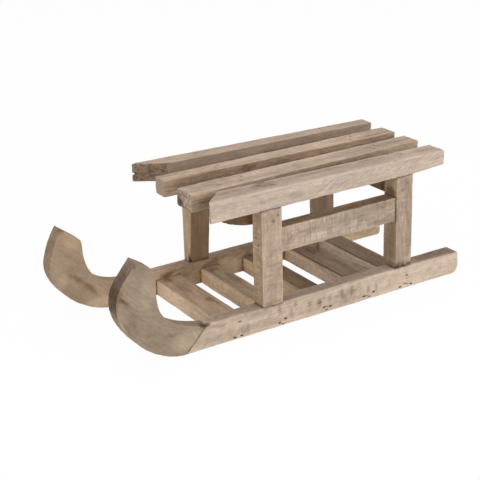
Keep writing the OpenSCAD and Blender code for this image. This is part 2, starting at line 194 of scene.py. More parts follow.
def horn_place(y, belly, tip, inner, throat, pulls):
    """A crescent between its outer line, from foot over belly to tip, and its hollow.

    The hollow runs from the neck over the throat to the inner end of the tip. The pulls say how
    long each curve keeps its direction.
    """
    foot_pull, belly_down, belly_up, tip_pull, neck_pull, throat_pull = pulls
    foot = np.array([-45.3, 0])       # the two ends of the scarf joint
    neck = np.array([-13.756, 32.5])
    belly, tip, inner, throat = (np.array(p, float) for p in (belly, tip, inner, throat))
    rise = inner[1] - throat[1]
    outer = resampled(
        bezier(foot, foot - [foot_pull, 0], belly - [0, belly_down], belly),
        bezier(belly, belly + [0, belly_up], tip - tip_pull * np.array([0.6, 0.8]), tip))
    hollow = resampled(
        bezier(neck, neck + neck_pull * np.array([-1, 0.2]), throat - [0, throat_pull], throat),
        bezier(throat, throat + [0, 0.4 * rise],
               inner + [0.6 * (throat[0] - inner[0]), -0.4 * rise], inner))

    def place(q):
        flat = lerp(hollow(q[:, 0]), outer(q[:, 0]), q[:, 1][:, None])
        return np.stack([flat[:, 0], y + BOARD * q[:, 2], flat[:, 1]], 1)
    return place


# ---- blocks with worn edges

EDGE_CUTS = np.array([0, 0.24, 0.64, 1.12, 1.6, 2.24])      # from an edge inwards
EDGE_STRIP = 3.84
DENT_CUTS = (-2.2, -1.4, -0.7, 0.7, 1.4, 2.2)               # to both sides of a nail or dent
JOINT_CUTS = (-3.2, -1.7, -0.7, 0.7, 1.7, 3.2)              # to both sides of another board


def grid_lines(length, step, dents, joints):
    """Cuts along one side of a block: close together at its ends, at dents and at joints."""
    count = max(2, int(round((length - 2 * EDGE_STRIP) / step)) + 1)
    extra = [at + d for places, away in ((dents, DENT_CUTS), (joints, JOINT_CUTS))
             for at in places for d in away]
    lines = np.sort(np.r_[EDGE_CUTS, length - EDGE_CUTS,
                          np.linspace(EDGE_STRIP, length - EDGE_STRIP, count),
                          [a for a in extra if 0.5 < a < length - 0.5]])
    kept = [0]
    for line in lines:
        if line - kept[-1] > 0.2:
            kept.append(line)
    kept[-1] = length
    return np.array(kept)


def cuts(place, size, step, dents, corners):
    """Where a block is cut along each of its sides."""
    dents = [found_in(place, np.array(middle), size) for middle in dents]
    joints = [found_in(place, corner, size) for corner in corners]
    return [grid_lines(size[n], step[n], [d[n] for d in dents], [j[n] for j in joints])
            for n in range(3)]


def shell(lines):
    """Points and four-sided faces of a block's surface."""
    counts = [len(side) for side in lines]
    outside = np.ones(counts, bool)
    outside[1:-1, 1:-1, 1:-1] = False
    index = np.full(counts, -1)
    index[outside] = np.arange(outside.sum())
    points = np.stack(np.meshgrid(*lines, indexing="ij"), -1)[outside]
    faces = []
    for axis in range(3):
        for side in (0, -1):
            plane = np.take(index, side, axis)
            corners = [plane[:-1, :-1], plane[1:, :-1], plane[1:, 1:], plane[:-1, 1:]]
            quads = np.stack(corners, -1).reshape(-1, 4)
            faces.append(quads[:, ::-1] if (side == 0) != (axis == 1) else quads)
    return points, np.concatenate(faces)


def rounded(points, size, radii):
    """Brings the edges and corners of the block in to the given radii."""
    core = np.clip(points, radii, size - radii)
    away = (points - core) / radii
    return core + away / length(away)[:, None] * radii


def found_in(place, target, size):
    """The block point that place puts at target, in millimetres of the block."""
    steps = [np.linspace(0, 1, n) for n in (41, 7, 5)]
    tries = np.stack(np.meshgrid(*steps, indexing="ij"), -1).reshape(-1, 3)
    q = tries[np.argmin(length(place(tries) - target))]
    nudge = 1e-4
    for _ in range(8):
        nudged = place(np.vstack([q, q + np.eye(3) * nudge]))
        slope = (nudged[1:] - nudged[0]).T / nudge
        q = np.clip(q + np.linalg.lstsq(slope, target - nudged[0], rcond=None)[0], 0, 1)
    return q * size


def shaved(points, planes):
    """Brings points past a plane back onto it. A plane is (point, normal, roughness)."""
    for point, normal, rough in planes:
        normal = np.array(normal, float) / np.linalg.norm(normal)
        past = (points - point) @ normal + rough * (noise(points, 2.6, 5) - 0.3)
        points = points - np.clip(past, 0, None)[:, None] * normal
    return points


def round_corner(points, centre, up):
    """Rounds the rear end of a runner about centre (X, Z); up is 1 on top and -1 below."""
    away = points[:, [0, 2]] - centre
    away[:, 1] *= up
    inside = (away > 0).all(1)
    flat = np.max(np.abs(away), axis=1)
    scale = np.where(inside & (flat > 0), flat / np.maximum(length(away), 1e-9), 1)
    away *= scale[:, None]
    away[:, 1] *= up
    points = points.copy()
    points[:, [0, 2]] = centre + away
    return points


# ---- what the CAD nodes tell

BOARDS = [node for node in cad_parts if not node.endswith("_nails")]
BOXES = {node: [np.array(c) * 1000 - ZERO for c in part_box(node)] for node in BOARDS}


def touching(node):
    """Corners of the boxes in which other boards touch this one."""
    low, high = BOXES[node]
    corners = []
    for other in BOARDS:
        start = np.maximum(low, BOXES[other][0])
        end = np.minimum(high, BOXES[other][1])
        if other != node and np.all(end - start > -0.6):
            corners += [np.minimum(start, end), np.maximum(start, end)]
    return corners


def reach_to_others(node, points):
    """Millimetres from each point to the nearest other board, up to most."""
    most = 7
    verts, faces = [], []
    for other in BOARDS:
        if other != node:
            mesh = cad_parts[other].data
            faces += [[len(verts) + i for i in face.vertices] for face in mesh.polygons]
            verts += [vert.co[:] for vert in mesh.vertices]
    tree = BVHTree.FromPolygons(verts, faces)
    found = [tree.find_nearest(p, most / 1000)[3] for p in (points + ZERO) / 1000]
    return np.array([most if d is None else d * 1000 for d in found])


def nail_heads(node):
    """The middle of each nail's head in the drawing, read from the CAD node."""
    bm = bmesh.new()
    bm.from_mesh(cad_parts[node].data)
    bmesh.ops.remove_doubles(bm, verts=bm.verts, dist=1e-5)
    left, heads = set(bm.verts), []
    while left:
        island, edge = [], [left.pop()]
        while edge:
            vert = edge.pop()
            island.append(vert.co[:])
            for link in vert.link_edges:
                other = link.other_vert(vert)
                if other in left:
                    left.remove(other)
                    edge.append(other)
        heads.append(head_of(np.array(island) * 1000 - ZERO))
    bm.free()
    return sorted(heads)


def head_of(points):
    low, high = points.min(0), points.max(0)
    axis = int(np.argmax(high - low))
    middle = (low + high) / 2
    spread = []
    for end in (low, high):
        ring = points[np.abs(points[:, axis] - end[axis]) < 0.05] - middle
        ring[:, axis] = 0
        spread.append((length(ring).max(), end[axis]))
    middle[axis] = max(spread)[1]
    return tuple(float(round(c, 3)) for c in middle)


NAIL_NODES = ["deck_nails", "seat_nails", "bearer_nails", "rail_nails", "foot_nails"]
NAILS = [head for node in NAIL_NODES for head in nail_heads(node)]


def added(name, data):
    obj = bpy.data.objects.new(name, data)
    SCENE.collection.objects.link(obj)
    return obj


def mesh_object(name, points, faces):
    """A smooth-shaded object from points in the drawing."""
    world = (points + ZERO) / 1000
    a, b, c = (world[faces[:, n]] for n in range(3))
    if (np.cross(a, b) * c).sum() < 0:
        faces = faces[:, ::-1]
    mesh = bpy.data.meshes.new(name)
    mesh.from_pydata(world.tolist(), [], faces.tolist())
    mesh.shade_smooth()
    return added(name, mesh)


def normals_of(mesh):
    found = np.zeros(len(mesh.vertices) * 3, np.float32)
    mesh.vertices.foreach_get("normal", found)
    return found.reshape(-1, 3).astype(float)


def store(mesh, name, values):
    kind = "FLOAT_VECTOR" if values.ndim == 2 else "FLOAT"
    key = "vector" if values.ndim == 2 else "value"
    attribute = mesh.attributes.new(name, kind, "POINT")
    attribute.data.foreach_set(key, np.ascontiguousarray(values, np.float32).ravel())


def patch(channel):
    """Patches of one kind: where, how far they reach, how strong, on which face, how turned.

    A face is (axis, side) of the block, whose axes run along the grain, across and through.
    Without one the patch shows on every face.
    """
    def made(middle, reach, share, face=None, turn=0):
        return channel, middle, reach, share, face, turn
    return made


brown, grey, pale = patch(0), patch(1), patch(2)


def patches_at(points, gaps, patches):
    """Brown, grey and pale shares at each point. gaps are its distances from the block's faces."""
    shares = np.zeros((len(points), 3))
    for channel, middle, reach, share, face, turn in patches:
        away = points - middle
        along, up = turned(away[:, 0], away[:, 2], turn)
        away = np.stack([along, away[:, 1], up], 1)
        near = 1 - smooth(length(away / reach), 0.3, 1)
        if face:
            near = near * (1 - smooth(gaps[face[1]][:, face[0]], 0.3, 1.2))
        shares[:, channel] = np.maximum(shares[:, channel], near * share)
    return shares


RUB_AND_HIGHLIGHT_REACH, DIRT_AND_SHADE_REACH = 1.6, 1.3            # how far the lighter edges (rubbed wear and painted highlight) and the darker joints (dirt and painted shade) reach

# How a board is worn, in millimetres, where its builder says nothing else.
WEAR = {
    "worn": (0.35, 1.3),            # least and most radius of the long edges
    "end_worn": 1.3,                # most radius round the front end
    "rear_worn": 1,                 # most radius round the rear end
    "end_rough": 0.35,              # depth of the pits in the front end
    "rear_rough": 0.3,              # and in the rear end
    "pitted": 0,                    # darkness of the pits
    "wave": 0.15,                   # unevenness of the faces
    "fine_wave": 0.09,
    "ragged": None,                 # (axis, side, depth) of a torn face
    "nail_deep": 0.45,              # the dents round the nails
    "nail_dark": 0.35,
    "nail_reach": (2.1, 2.1, 2.1),
}


def worn_radii(block, size, seed, wear):
    """The radius of the worn edges at each point of a block, along each axis."""
    uneven = noise(block, (22, 9, 9), seed) * 0.7 + noise(block, (6, 5, 5), seed + 1) * 0.3
    least, most = wear.worn
    long_edges = lerp(least, most, smooth(uneven, 0.3, 0.8))
    most = np.where(block[:, 0] < size[0] / 2, wear.end_worn, wear.rear_worn)
    ends = lerp(least, most, smooth(uneven, 0.2, 0.7))
    return np.stack([ends, long_edges, long_edges], 1)


def sunken(block, gaps, end, points, spots, seed, wear):
    """How far each point lies under the clean face, and how dark it is there."""
    ahead = gaps[0][:, 0] < gaps[1][:, 0]
    pits = noise(block, (2.6, 2.2, 2.2), seed + 4)
    depth = (wear.wave * noise(block, (45, 14, 14), seed + 2)
             + wear.fine_wave * noise(block, (12, 4, 4), seed + 3)
             + end * np.where(ahead, wear.end_rough, wear.rear_rough) * pits)
    dark = wear.pitted * end * smooth(pits, 0.5, 0.8)
    if wear.ragged:
        axis, side, torn = wear.ragged
        on_face = 1 - smooth(gaps[side][:, axis], 0.3, 1.6)
        depth += torn * on_face * noise(block, (4, 3, 3), seed + 6)
    for middle, reach, deep, darkness in spots:
        away = length((points - middle) / reach)
        depth += deep * (1 - smooth(away, 0.45, 1))
        dark = np.maximum(dark, darkness * (1 - smooth(away, 0.5, 1.35)))
    return depth, dark


def wooden(node, slot, size, place, look, patches=(), dents=(), planes=(), step=(3.4, 2.6, 2.4),
           shape=None, grain=None, sawn=None, **wear):
    """Builds one board in place of its CAD node: worn edges, uneven faces, dents at the nails.

    look is what wood() is told. A dent is (middle, reach, depth, darkness). shape moves the
    points, grain gives the grain's own axes, sawn gives the share of saw marks, and wear
    overrides WEAR.
    """
    wear = SimpleNamespace(**{**WEAR, **wear})
    seed = sum(ord(c) * (n + 3) for n, c in enumerate(node)) % 9973
    size = np.array(size, float)
    low, high = BOXES[node]
    nails = [head for head in NAILS if np.all(head > low - 1) and np.all(head < high + 1)]
    spots = [(head, wear.nail_reach, wear.nail_deep, wear.nail_dark) for head in nails]
    spots += dents
    block, faces = shell(cuts(place, size, step, [s[0] for s in spots], touching(node)))
    points = place(rounded(block, size, worn_radii(block, size, seed, wear)) / size)
    if shape:
        points = shape(points)
    points = shaved(points, planes)

    obj = mesh_object(node + "_wood", points, faces)
    mesh = obj.data
    gaps = (block, size - block)
    gap = np.minimum(*gaps)
    end = (gap[:, 0] < 0.01) * 1.0
    depth, dark = sunken(block, gaps, end, points, spots, seed, wear)
    points = np.clip(points - normals_of(mesh) * depth[:, None], low, high)
    mesh.vertices.foreach_set("co", ((points + ZERO) / 1000).astype(np.float32).ravel())
    mesh.update()

    store(mesh, "grain_co", grain(points) if grain else block - size / 2)
    # edge drives the lighter edges, partly wear and partly painted highlight; joint drives the
    # darkening near other boards, partly dirt and partly painted shade.
    store(mesh, "edge", np.exp(-np.sort(gap, axis=1)[:, 1] / RUB_AND_HIGHLIGHT_REACH))
    store(mesh, "end", end)
    store(mesh, "mark", dark)
    store(mesh, "joint", np.exp(-reach_to_others(node, points) / DIRT_AND_SHADE_REACH))
    store(mesh, "sawn", sawn(points) if sawn else np.ones(len(points)))
    store(mesh, "patch", patches_at(points, gaps, patches))
    mesh.materials.append(wood(node + "_look", **look))
    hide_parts(node)
    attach(obj, "root")


# ---- materials

class Graph:
    """Short calls that build the nodes of a material or world."""

    def __init__(self, owner):
        owner.use_nodes = True
        self.owner = owner
        self.tree = owner.node_tree
        self.tree.nodes.clear()

    def new(self, kind, inputs=(), output=0, **settings):
        """Adds a node and gives one of its outputs."""
        node = self.tree.nodes.new("ShaderNode" + kind)
        for key, value in settings.items():
            setattr(node, key, value)
        for key, value in dict(inputs).items():
            if isinstance(value, bpy.types.NodeSocket):
                self.tree.links.new(value, node.inputs[key])
            else:
                node.inputs[key].default_value = value
        return node.outputs[output] if node.outputs else None

    def math(self, operation, *values, clamp=False):
        return self.new("Math", enumerate(values), operation=operation, use_clamp=clamp)

    def product(self, *values):
        total = values[0]
        for value in values[1:]:
            total = self.math("MULTIPLY", total, value)
        return total

    def vector(self, operation, a, b=(0, 0, 0)):
        output = "Value" if operation == "LENGTH" else "Vector"
        return self.new("VectorMath", {0: a, 1: b}, output, operation=operation)

    def noise(self, at, along, across, detail=3, rough=0.55, output="Fac"):
        """Noise with so many bumps in a millimetre along and across the grain."""
        at = self.vector("MULTIPLY", at, (along, across, across))
        return self.new("TexNoise", {"Vector": at, "Scale": 1, "Detail": detail,
                                     "Roughness": rough}, output)

    def step(self, value, low, high, to=(0, 1)):
        """A soft step from to[0] at low to to[1] at high."""
        return self.new("MapRange", {"Value": value, "From Min": low, "From Max": high,
                                     "To Min": to[0], "To Max": to[1]},
                        interpolation_type="SMOOTHSTEP")

    def mix(self, share, a, b, blend="MIX"):
        """Two colours; 6, 7 and 2 are the node's sockets for colours."""
        return self.new("Mix", {0: share, 6: a, 7: b}, 2, data_type="RGBA", blend_type=blend)

    def axes(self, vector):
        return self.new("SeparateXYZ", {0: vector}).node.outputs

    def attribute(self, name, output="Fac"):
        return self.new("Attribute", output=output, attribute_name=name)

    def finish(self, shader):
        self.new("OutputMaterial", {"Surface": shader})
        return self.owner


RING_SHIFT = 0.5            # millimetres from the pith to the middle of the rings


def rings_of(g, co, at, pith, spacing, lean):
    """Share of dark late wood: rings round the pith, bent a little along the board."""
    bend = g.noise(at, 0.006, 0.022, 2, 0.5, "Color")
    bend = g.vector("MULTIPLY", g.vector("SUBTRACT", bend, (0.5,) * 3), (0, 16, 16))
    along, across, through = g.axes(g.vector("ADD", co, bend))
    across = g.math("SUBTRACT", across, g.math("MULTIPLY_ADD", along, lean[0], RING_SHIFT))
    through = g.math("SUBTRACT", through, g.math("MULTIPLY_ADD", along, lean[1], RING_SHIFT))
    flat = g.new("CombineXYZ", {1: across, 2: through})
    distance = g.vector("LENGTH", g.vector("SUBTRACT", flat, (0, *pith)))
    ring = g.math("FRACT", g.math("DIVIDE", distance, spacing))
    return g.product(g.step(ring, 0.15, 0.85), g.step(ring, 0.99, 0.88))


def saw_marks(g, at, step, slant, axis):
    """Bands across the board left by the saw, -1 to 1, fading in and out in patches."""
    slanted = g.new("VectorRotate", {"Vector": at, "Angle": math.radians(slant)},
                    rotation_type=axis)
    bands = g.step(g.noise(slanted, 1 / step, 0.045, 2, 0.6), 0.34, 0.66, (-1, 1))
    patchy = g.step(g.noise(at, 0.02, 0.14, 2), 0.36, 0.64, (0.2, 1.2))
    flat = g.math("SUBTRACT", 1, g.attribute("end"))
    return g.product(bands, patchy, g.attribute("sawn"), flat)


def weathered_and_painted_light(g, colour, top, front):
    """Tints faces that look up and faces that look ahead: on tops partly weathering grey and partly
    painted light and shade, on fronts painted light and shade.
    """
    right, _, up = g.axes(g.new("NewGeometry", output="Normal"))
    colour = g.mix(g.step(up, 0.45, 0.9), colour, (*top, 1), "MULTIPLY")
    return g.mix(g.step(right, -0.45, -0.9), colour, (*front, 1), "MULTIPLY")


def end_cut(g, at, pores, late, tone, speck):
    """The cut ends: pores, dark flecks and the ends of the rings."""
    flecks = g.noise(at, 0.38, 0.38, 3, 0.65)
    cut = g.mix(g.step(pores, 0.62, 0.4), tone, tinted(tone, 0.66, 0.61, 0.55))
    cut = g.mix(g.product(g.step(flecks, 0.52, 0.64), speck), cut, tinted(tone, 0.45, 0.38, 0.31))
    return g.mix(g.product(late, 0.3), cut, tinted(tone, 0.66, 0.6, 0.52))


PATCH_LOOKS = [(0.42, 0.34, 0.27), (0.66, 0.63, 0.6), (1.42, 1.47, 1.47)]


def patched(g, colour, grime):
    """Brown, grey and pale patches, whose rims follow the grime."""
    shares = g.axes(g.attribute("patch", "Vector"))
    broken = g.math("SUBTRACT", grime, 0.5)
    for share, look in zip(shares, PATCH_LOOKS):
        rim = g.product(broken, g.step(share, 0, 0.3))
        share = g.math("ADD", share, rim, clamp=True)
        colour = g.mix(share, colour, g.mix(1, colour, (*look, 1), "MULTIPLY"))
    return colour


def dirtied_and_shaded(g, colour, at, grime, base):
    """Rust and dirt round nails and dents, and darkening where boards meet, partly dirt and partly
    painted shade.
    """
    spotty = g.step(g.noise(at, 0.6, 0.8, 2), 0.3, 0.6, (0.6, 1.1))
    mark = g.math("MINIMUM", g.product(g.attribute("mark"), spotty), 1)
    colour = g.mix(mark, colour, (0.05, 0.031, 0.019, 1))
    # Darker near other boards: partly dirt and partly painted shade where boards meet.
    dirt = g.product(g.attribute("joint"), g.step(grime, 0.34, 0.62, (0.22, 0.95)))
    return g.mix(dirt, colour, tinted(base, 0.15, 0.1, 0.075))


def wood(name, tone, seed, top=(1, 1, 1), front=(1, 1, 1), pith=(-30, -40), spacing=4.2,
         lean=(0, 0), rings=0.2, saw=(4, 0, 0.03), saw_axis="Z_AXIS", blotch=0.4,
         streak=0.4, fibre=0.06, smudge=0.3, end=None, edge=0.6, speck=0.45, soft=1,
         flake=0.08, mottle=0.1, dapple=0.05):
    """Weathered board: year rings, fibres, saw marks, stains, grey top, rough ends, edges lightened
    by wear and a painted highlight, painted light and shade by face, and painted shade with dirt at
    joints.

    tone and end are colours on screen, top and front tint the faces that look that way: the top
    tint is partly weathering and partly painted light and shade, the front tint is painted light
    and shade. pith, spacing and lean lay out the rings, saw is (width, slant, strength) of the saw
    marks, soft below 1 makes the stains larger, and the other numbers are the strength of one layer
    each.
    """
    g = Graph(bpy.data.materials.new(name))
    base = srgb(*tone)
    co = g.attribute("grain_co", "Vector")
    at = g.vector("ADD", co, (seed * 137, seed * 71, seed * 53))
    late = rings_of(g, co, at, pith, spacing, lean)
    fibres = g.noise(at, 0.03, 0.9, 2, 0.6)
    streaks = g.noise(at, 0.009, 0.24, 4, 0.65)
    drift = g.noise(at, 0.007, 0.05, 3, 0.55)
    smears = g.noise(at, 0.013 * soft, 0.1 * soft, 3, 0.6)
    blots = g.noise(at, 0.04 * soft, 0.075 * soft, 4, 0.6)
    grime = g.noise(at, 0.1, 0.15, 4, 0.65)
    dashes = g.noise(at, 0.08, 0.65, 2, 0.5)
    flakes = g.noise(at, 0.11, 0.4, 2, 0.75)
    clouds = g.noise(at, 0.01, 0.05, 3, 0.6)
    pores = g.noise(at, 0.9, 0.9, 3, 0.7)
    bands = saw_marks(g, at, saw[0], saw[1], saw_axis)

    stains = [(late, rings, (0.74, 0.66, 0.56)),
              (g.step(streaks, 0.5, 0.74), streak, (0.7, 0.62, 0.54)),
              (g.step(streaks, 0.46, 0.26), 0.5 * streak, (1.14, 1.12, 1.09)),
              (g.step(drift, 0.42, 0.68), 0.45, (0.87, 0.86, 0.87)),
              (g.step(smears, 0.5, 0.72), smudge, (0.66, 0.62, 0.57)),
              (g.step(blots, 0.56, 0.76), blotch, (0.64, 0.56, 0.47))]
    colour = base
    for pattern, strength, tint in stains:
        colour = g.mix(g.product(pattern, strength), colour, tinted(base, *tint))
    # Face tints: weathering grey and painted light and shade on tops, painted light and shade on
    # fronts.
    colour = weathered_and_painted_light(g, colour, top, front)

    light = g.product(g.math("MULTIPLY_ADD", bands, saw[2], 1),
                      g.step(fibres, 0.3, 0.7, (1 - fibre, 1 + 0.6 * fibre)),
                      g.step(grime, 0.34, 0.68, (1 + 0.6 * dapple, 1 - dapple)),
                      g.step(flakes, 0.36, 0.64, (1 - flake, 1 + flake)),
                      g.step(clouds, 0.34, 0.66, (1 + mottle, 1 - mottle)))
    colour = g.mix(1, colour, light, "MULTIPLY")
    specks = g.product(g.step(dashes, 0.7, 0.77), g.step(grime, 0.46, 0.58, (0, 0.45)))
    colour = g.mix(specks, colour, tinted(base, 0.36, 0.29, 0.23))

    end_tone = srgb(*end) if end else tinted(base, 0.84, 0.82, 0.79)
    cut = g.attribute("end")
    colour = g.mix(cut, colour, end_cut(g, at, pores, late, end_tone, speck))
    # Lighter edges: partly rubbed wear and partly a painted highlight along the arrises.
    rub_and_highlight = g.product(g.attribute("edge"), g.step(blots, 0.38, 0.6, (0.15, 1)), edge)
    colour = g.mix(rub_and_highlight, colour, tinted(base, 1.28, 1.24, 1.18))
    colour = dirtied_and_shaded(g, patched(g, colour, grime), at, grime, base)

    height = g.product(fibres, 0.5)
    for relief in ((late, 0.2), (bands, 1.6 * saw[2]), (pores, cut, 1.6)):
        height = g.math("ADD", height, g.product(*relief))
    bump = g.new("Bump", {"Strength": 0.5, "Distance": 0.0006, "Height": height})
    rough = g.step(g.math("ADD", fibres, grime), 0.7, 1.3, (0.7, 0.92))
    return g.finish(g.new("BsdfPrincipled", {"Base Color": colour, "Roughness": rough,
                                             "Specular IOR Level": 0.25, "Normal": bump}))


def rusty_steel(name, steel, rusty, dirt):
    """Old nail heads: steel under rust, and dirt over both."""
    g = Graph(bpy.data.materials.new(name))
    at = g.vector("MULTIPLY", g.new("TexCoord", output="Object"), (1000,) * 3)
    rust = g.noise(at, 0.7, 0.7, 4, 0.65)
    fine = g.noise(at, 3, 3, 2)
    colour = g.mix(g.step(rust, 0.38, 0.62), (*steel, 1), (*rusty, 1))
    colour = g.mix(g.step(fine, 0.45, 0.75, (0, 0.6)), colour, (*dirt, 1))
    bump = g.new("Bump", {"Strength": 0.6, "Distance": 0.0003, "Height": rust})
    return g.finish(g.new("BsdfPrincipled", {
        "Base Color": colour, "Metallic": g.step(rust, 0.65, 0.35, (0.05, 0.4)),
        "Roughness": g.step(rust, 0.3, 0.7, (0.55, 0.9)), "Normal": bump}))


# ---- the pieces

def build_runners():
    top, near = (1, 1), (2, 0)

    def worn_heel(end, sole):
        return lambda points: round_corner(round_corner(points, (end - 6, RUNNER - 6), 1),
                                           (end - sole, sole), -1)

    stains = [(86, 17, 0.35), (128, 24, 0.45), (136, 12, 0.3), (151, 17, 0.4), (168, 17, 0.42),
              (176, 26, 0.3), (185, 17, 0.4), (206, 22, 0.5), (213, 12, 0.4), (223, 19, 0.45),
              (238, 24, 0.3), (266, 15, 0.45), (291, 15, 0.35), (206.9, 19.7, 0.75),
              (223.5, 19.6, 0.6), (120.9, 15.1, 0.4), (101.9, 24.1, 0.45), (165.5, 16.8, 0.4),
              (50.6, 11.1, 0.4), (252.3, 16.7, 0.45), (321.7, 19.5, 0.25)]
    patches = [brown((x, 0, z), (4, 5, 11), share, turn=4) for x, z, share in stains]
    patches += [
        brown((4, 0, 28), (16, 4, 5), 0.5, turn=-10), grey((14, 0, 22), (16, 4, 8), 0.4),
        brown((-11, 1, 34), (5, 3, 4), 0.8), grey((385, 11, 34), (80, 40, 20), 1, top),
        brown((390, 11, 34), (60, 40, 20), 0.3, top), grey((190, 11, 34), (70, 40, 20), 0.25, top),
        grey((214, 0, 19), (34, 4, 20), 0.36, near), grey((160, 0, 18), (24, 4, 18), 0.2, near),
        pale((360, 0, 18), (110, 4, 40), 0.15, near), grey((40, 0, 18), (110, 4, 40), 0.36, near),
        brown((40, 11, 34), (110, 40, 20), 0.22, top)]
    chips = [(37.9, 24.5), (106.7, 2), (179.4, 3.7), (168.7, 17.1), (254.6, 3.8),
             (322.2, 19.4), (318.3, 6.9)]
    slits = [(180.3, 8.3), (248.9, 5.8), (322.8, 5.6)]
    dents = [((x, 0, z), (2.6, 2, 1.4), 0.4, 0.75) for x, z in chips]
    dents += [((x, 0, z), (3.6, 2, 0.9), 0.3, 0.8) for x, z in slits]
    dents.append(((-12.5, 2, 34), (6, 5, 4), 1.2, 0.75))
    look = dict(tone=(199, 181, 163), seed=1, top=(0.82, 0.79, 0.79), pith=(-38, -25),
                lean=(0.012, 0), saw=(5, 0, 0.06), blotch=0.3, flake=0.06, smudge=0.2)
    wooden("left_runner", "runner_wood", (447, RUNNER, BOARD), runner_place(0, 418.5), look,
           patches, shape=worn_heel(418.5, 11), worn=(0.5, 1.5), dents=dents,
           nail_dark=0.95, nail_reach=(2.7, 1.8, 1.35), planes=[((200, 0, 31.9), (0, -1, 1), 1)])

    # The brown strips at X 35 and 106, just above deck boards 1 and 2 on this inner face, are
    # painted shadow.
    patches = [
        brown((172, FAR, 18), (10, 4, 24), 0.7), brown((203, FAR, 20), (3, 4, 18), 0.5, turn=8),
        pale((150, FAR, 16), (9, 4, 16), 0.3, turn=8), brown((35, FAR, 27), (21, 4, 6), 1, turn=10),
        brown((106, FAR, 27), (22, 4, 5), 0.7, turn=4), brown((45, FAR, 20), (75, 6, 30), 0.38),
        grey((10, FAR, 20), (22, 4, 12), 0.3), brown((86, FAR, 31), (16, 4, 5), 0.3),
        brown((122, FAR, 33), (20, 4, 5), 0.6), brown((150, FAR, 31), (22, 4, 6), 0.35),
        grey((30, 199, 34), (80, 40, 20), 0.45, top), grey((200, 199, 34), (120, 40, 20), 1, top),
        brown((200, 199, 34), (110, 40, 20), 0.25, top), brown((385, FAR, 20), (60, 6, 26), 0.08)]
    look = dict(tone=(200, 177, 149), seed=2, top=(0.88, 0.86, 0.92), pith=(45, -30),
                lean=(-0.01, 0), mottle=0.2)
    wooden("right_runner", "runner_wood", (452, RUNNER, BOARD), runner_place(FAR, 423), look,
           patches, shape=worn_heel(423, 5), worn=(0.5, 1.4), nail_dark=0.8)


def horn_grain(points):
    """Grain that runs down the slope of the horn, from its tip towards the runner."""
    along, across = turned(points[:, 0] + 90, points[:, 2] - 60, -45)
    return np.stack([along, across, points[:, 1]], 1)


def build_horns():
    rim, size = (1, 1), (235, 60, BOARD)
    wear = dict(step=(3, 2.6, 2.4), end_worn=1, grain=horn_grain)
    shared = dict(top=(0.86, 0.84, 0.84), spacing=6, rings=0.1, blotch=0.25, streak=0.12,
                  smudge=0.25, soft=0.5, mottle=0.07, fibre=0.04, flake=0.07)

    place = horn_place(0, belly=(-142, 90), tip=(-110, 146.5), inner=(-91, 134),
                       throat=(-84, 114), pulls=(52, 33, 26, 25, 78, 32))
    look = dict(tone=(151, 134, 115), seed=3, pith=(60, -30), saw=(1.6, 62, 0.03),
                end=(150, 130, 112), **shared)
    patches = [
        brown((-134, 11, 116), (34, 60, 46), 0.5, rim),
        brown((-143, 11, 104), (20, 60, 34), 0.95, rim),
        grey((-134, 11, 110), (40, 60, 60), 1, rim), brown((-140, 0, 100), (4, 5, 20), 0.5),
        brown((-14, 0, 33), (7, 6, 5), 0.8), brown((-131, 0, 98.5), (14, 6, 4.6), 1, turn=-43),
        brown((-112, 0, 141), (7, 6, 4), 0.5, turn=35), grey((-118, 0, 79), (12, 6, 8), 0.4),
        brown((-126, 0, 92), (14, 6, 5), 0.4, turn=-43),
        pale((-134, 0, 62), (26, 4, 2.6), 1, turn=-60), pale((-96, 0, 100), (17, 6, 26), 0.5),
        pale((-42, 0, 19), (36, 6, 20), 0.75, turn=10),
        grey((-124, 0, 58), (18, 6, 16), 0.6, turn=-50), grey((-108, 0, 136), (18, 6, 14), 0.4),
        brown((-66, 0, 34), (14, 6, 4), 0.3, turn=-8),
        brown((-92, 0, 34), (26, 6, 14), 0.16, turn=-35),
        brown((-138, 0, 108), (9, 6, 20), 0.6, turn=15)]
    wooden("left_horn", "horn_wood", size, place, look, patches, worn=(0.4, 1.3),
           end_rough=0.6, ragged=(*rim, 0.6), dents=[((-17, 4, 33.5), (7, 8, 4), 0.8, 0.8)],
           **wear)

    place = horn_place(FAR, belly=(-146, 80), tip=(-124.5, 133.5), inner=(-97, 112),
                       throat=(-95, 100), pulls=(55, 34, 13, 17, 18, 68))
    look = dict(tone=(163, 141, 118), seed=4, pith=(-60, -20), saw=(2, 62, 0.03), **shared)
    patches = [
        grey((-138, 199, 100), (40, 60, 60), 0.8, rim),
        brown((-124, 190, 131), (7, 12, 5), 0.7, turn=40),
        brown((-87, FAR, 38), (19, 6, 5), 0.5, turn=-49),
        grey((-98, FAR, 48), (36, 6, 11), 0.6, turn=-47),
        brown((-108, FAR, 58), (18, 6, 5), 0.35, turn=-44),
        pale((-112, FAR, 112), (15, 6, 22), 0.4, turn=10),
        pale((-130, FAR, 56), (12, 6, 16), 0.6, turn=-20), pale((-76, FAR, 13), (40, 6, 12), 0.75),
        grey((-114, FAR, 68), (16, 6, 14), 0.5, turn=-40)]
    wooden("right_horn", "horn_wood", size, place, look, patches, worn=(0.4, 1.1),
           ragged=(*rim, 0.4), **wear)


